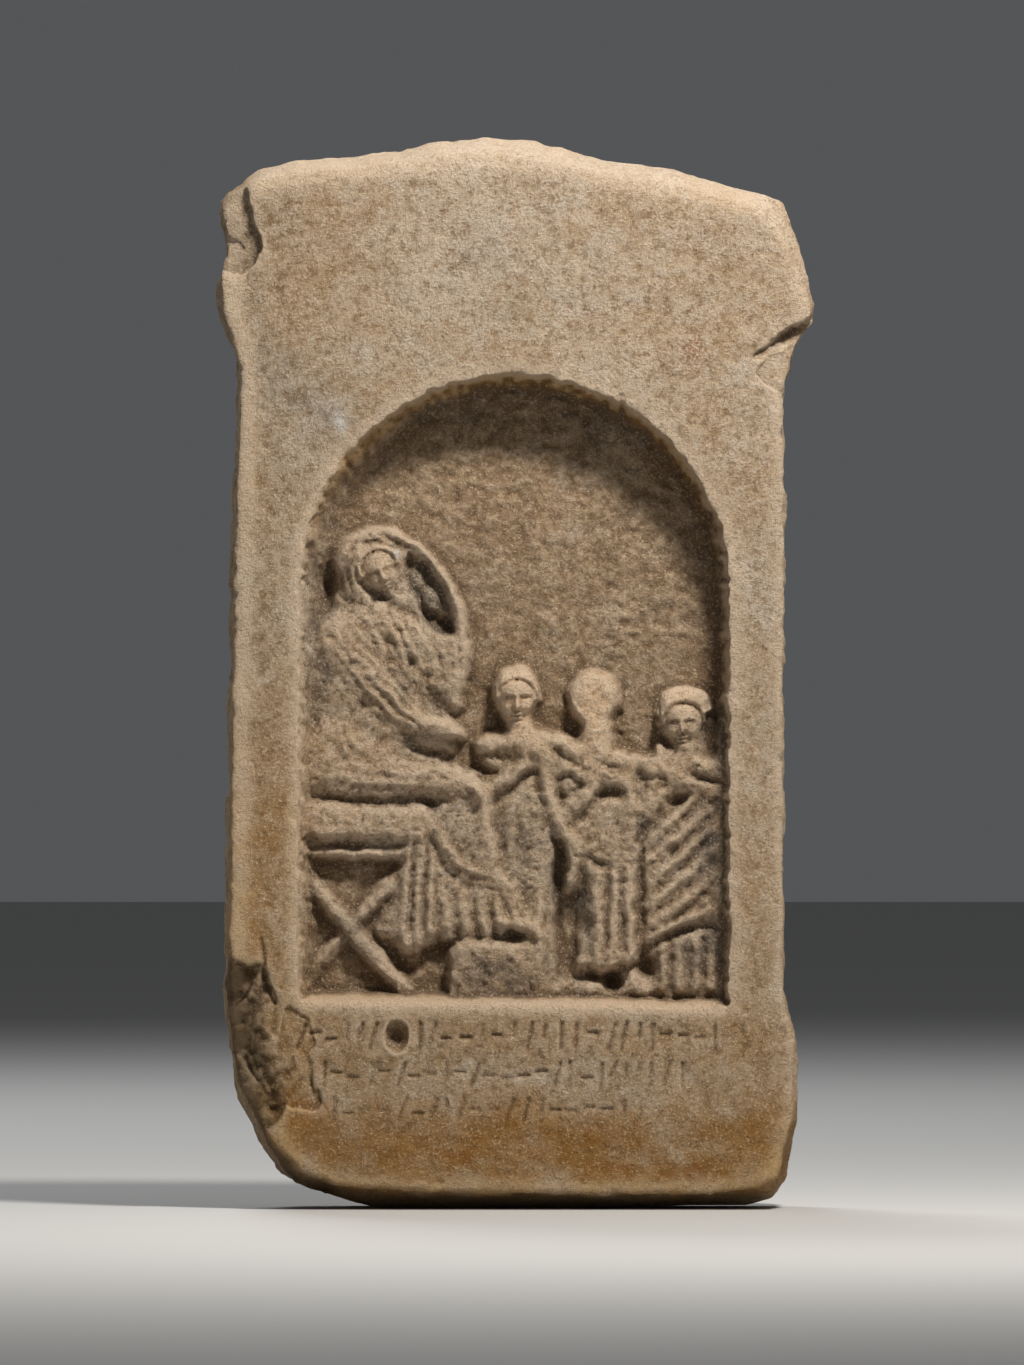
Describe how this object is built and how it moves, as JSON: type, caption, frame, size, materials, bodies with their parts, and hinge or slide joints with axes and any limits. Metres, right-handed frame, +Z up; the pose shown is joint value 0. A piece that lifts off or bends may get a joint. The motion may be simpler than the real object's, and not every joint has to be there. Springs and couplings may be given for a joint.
{
  "type": "carved stone stele",
  "caption": "Upright marble slab with a worn cornice, an arched niche holding a seated veiled woman and standing attendants in relief, and rows of shallow strokes below.",
  "frame": {"origin": "middle of the outer box, at the height of the underside the slab stands on", "axes": "+Z up the slab, -Y out of the carved front face, +X to the right seen from the front"},
  "size_m": [0.338, 0.09, 0.6],
  "materials": {
    "marble": "weathered, matt"
  },
  "bodies": {
    "root": {"stele": "marble"}
  },
  "joints": []
}
